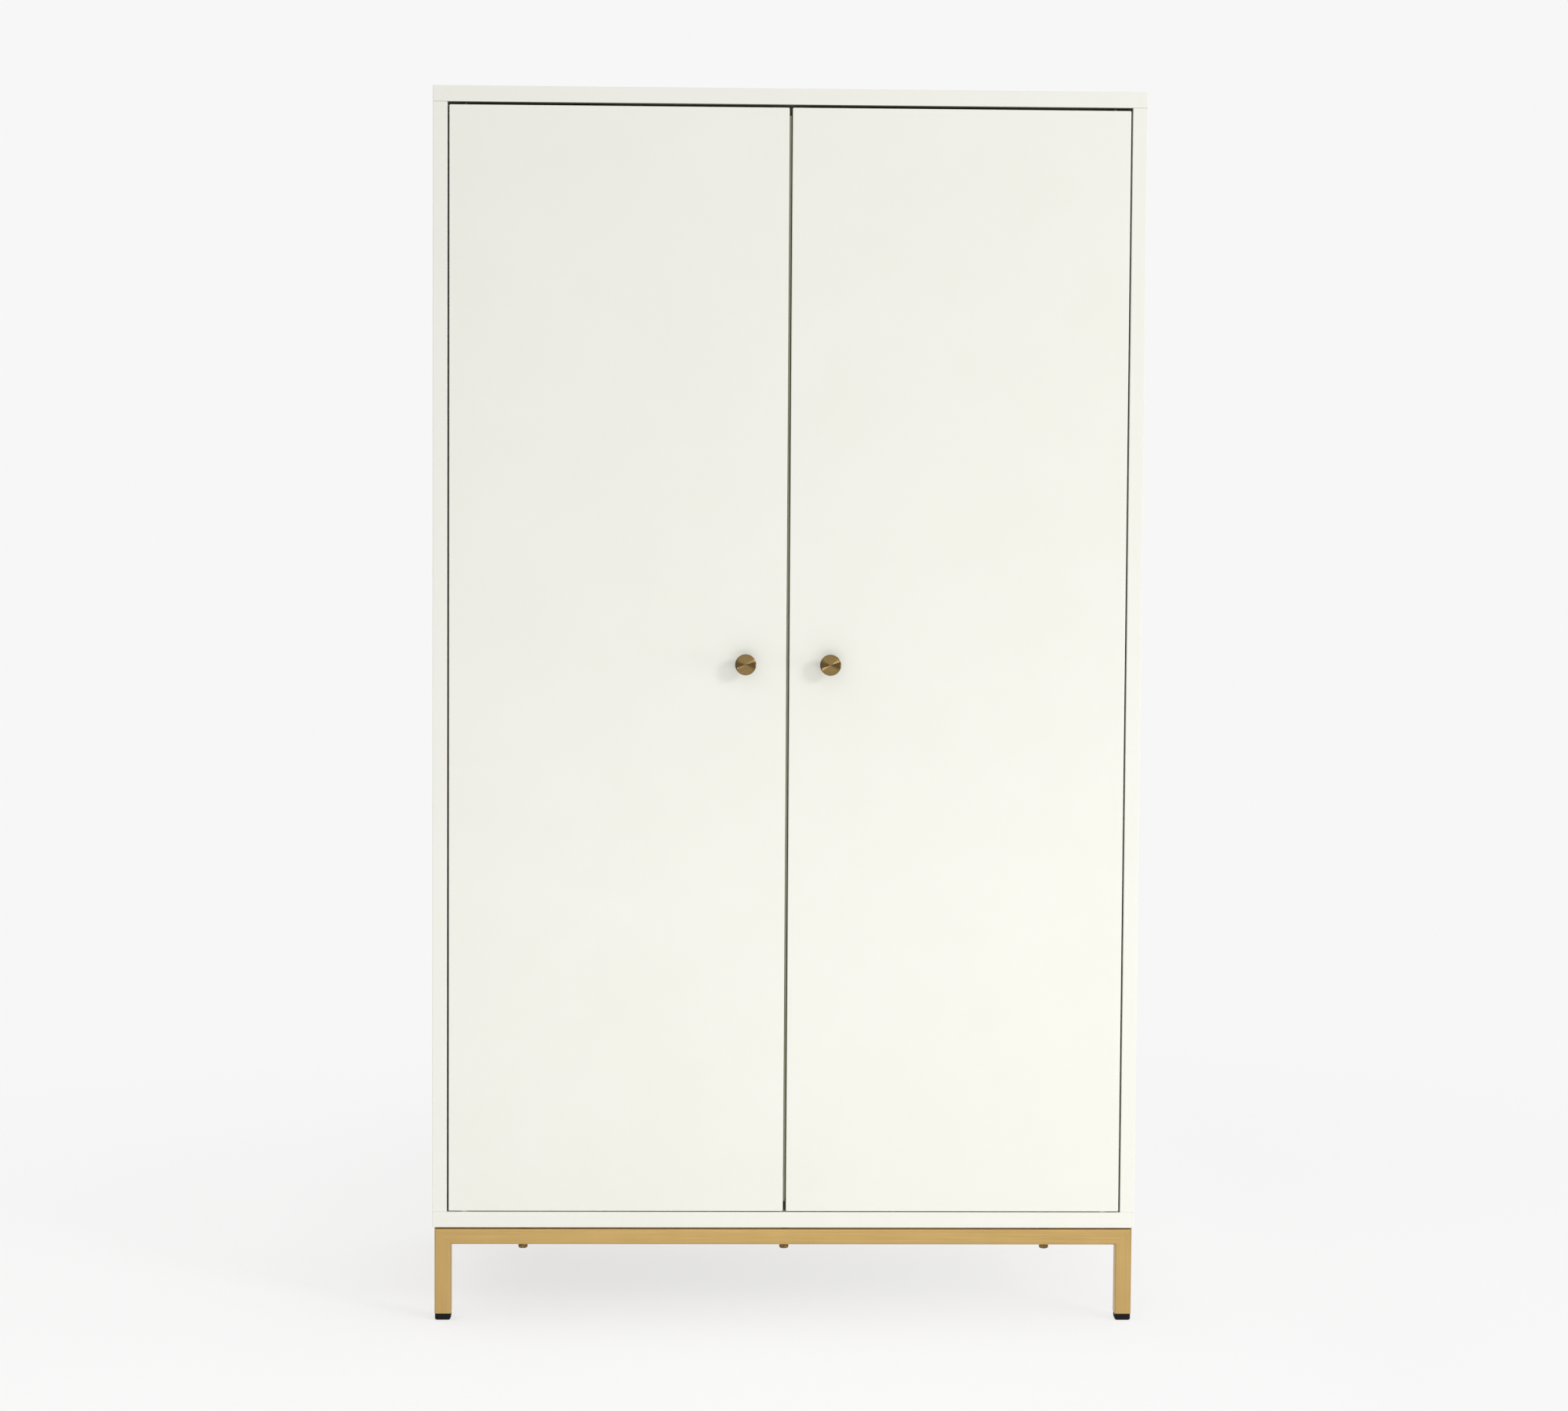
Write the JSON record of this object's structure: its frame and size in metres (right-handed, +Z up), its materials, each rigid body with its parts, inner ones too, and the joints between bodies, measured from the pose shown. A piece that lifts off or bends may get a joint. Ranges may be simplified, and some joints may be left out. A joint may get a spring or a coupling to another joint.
{
  "type": "armoire",
  "caption": "Free-standing armoire: white lacquered case with flush inset doors on pivots, round brass knobs, shelf and hanging rail, on a brushed brass square-tube base.",
  "frame": {"origin": "on the floor, under the middle of the overall box", "axes": "+Z up, +Y towards the back, +X to the viewer's right; the doors face -Y"},
  "size_m": [1.08, 0.586, 1.882],
  "materials": {
    "lacquer": "satin lacquer",
    "back_board": "matt paint",
    "beech": "raw",
    "brushed_brass": "brushed",
    "turned_brass": "turned",
    "hinge_white": "satin powder coat",
    "bolt_brass": "plated",
    "rail_brass": "satin",
    "black_plastic": "matt",
    "brown_plastic": "matt",
    "nylon": "satin",
    "magnet": "plated",
    "screw_steel": "zinc"
  },
  "bodies": {
    "case": {"back_panel": "back_board", "back_panel_screws": "screw_steel", "base_bolts": "bolt_brass", "base_inserts": "bolt_brass", "base_leg_back_left": "brushed_brass", "base_leg_back_right": "brushed_brass", "base_leg_front_left": "brushed_brass", "base_leg_front_right": "brushed_brass", "base_rail_back": "brushed_brass", "base_rail_front": "brushed_brass", "base_rail_left": "brushed_brass", "base_rail_right": "brushed_brass", "base_spacers": "black_plastic", "bottom_panel": "lacquer", "carcass_dowels": "beech", "catch_high": "brown_plastic", "catch_low": "brown_plastic", "catch_magnets": "magnet", "catch_screws_high": "screw_steel", "catch_screws_low": "screw_steel", "foot_back_left": "black_plastic", "foot_back_right": "black_plastic", "foot_front_left": "black_plastic", "foot_front_right": "black_plastic", "hanging_rod": "rail_brass", "pivot_case_plate_high_left": "hinge_white", "pivot_case_plate_high_right": "hinge_white", "pivot_case_plate_low_left": "hinge_white", "pivot_case_plate_low_right": "hinge_white", "pivot_case_screws_left": "screw_steel", "pivot_case_screws_right": "screw_steel", "pivot_washers": "nylon", "rod_socket_left": "rail_brass", "rod_socket_right": "rail_brass", "rod_socket_screws_left": "screw_steel", "rod_socket_screws_right": "screw_steel", "shelf": "lacquer", "shelf_pins": "screw_steel", "side_panel_left": "lacquer", "side_panel_right": "lacquer", "top_panel": "lacquer"},
    "door_left": {"door_left": "lacquer", "gap_strip": "lacquer", "gap_strip_screws": "screw_steel", "knob_left": "turned_brass", "knob_screw_left": "screw_steel", "pivot_door_plate_high_left": "hinge_white", "pivot_door_plate_low_left": "hinge_white", "pivot_door_screws_left": "screw_steel", "strike_plates_left": "screw_steel", "strike_screws_left": "screw_steel"},
    "door_right": {"door_right": "lacquer", "knob_right": "turned_brass", "knob_screw_right": "screw_steel", "pivot_door_plate_high_right": "hinge_white", "pivot_door_plate_low_right": "hinge_white", "pivot_door_screws_right": "screw_steel", "strike_plates_right": "screw_steel", "strike_screws_right": "screw_steel"}
  },
  "joints": [
    {"name": "door_left_swing", "type": "hinge", "parent": "case", "child": "door_left", "pos_m": [-0.4912, -0.257, 1.009], "axis": [0, 0, -1], "range_deg": [0, 110]},
    {"name": "door_right_swing", "type": "hinge", "parent": "case", "child": "door_right", "pos_m": [0.4912, -0.257, 1.009], "axis": [0, 0, 1], "range_deg": [0, 110]}
  ]
}
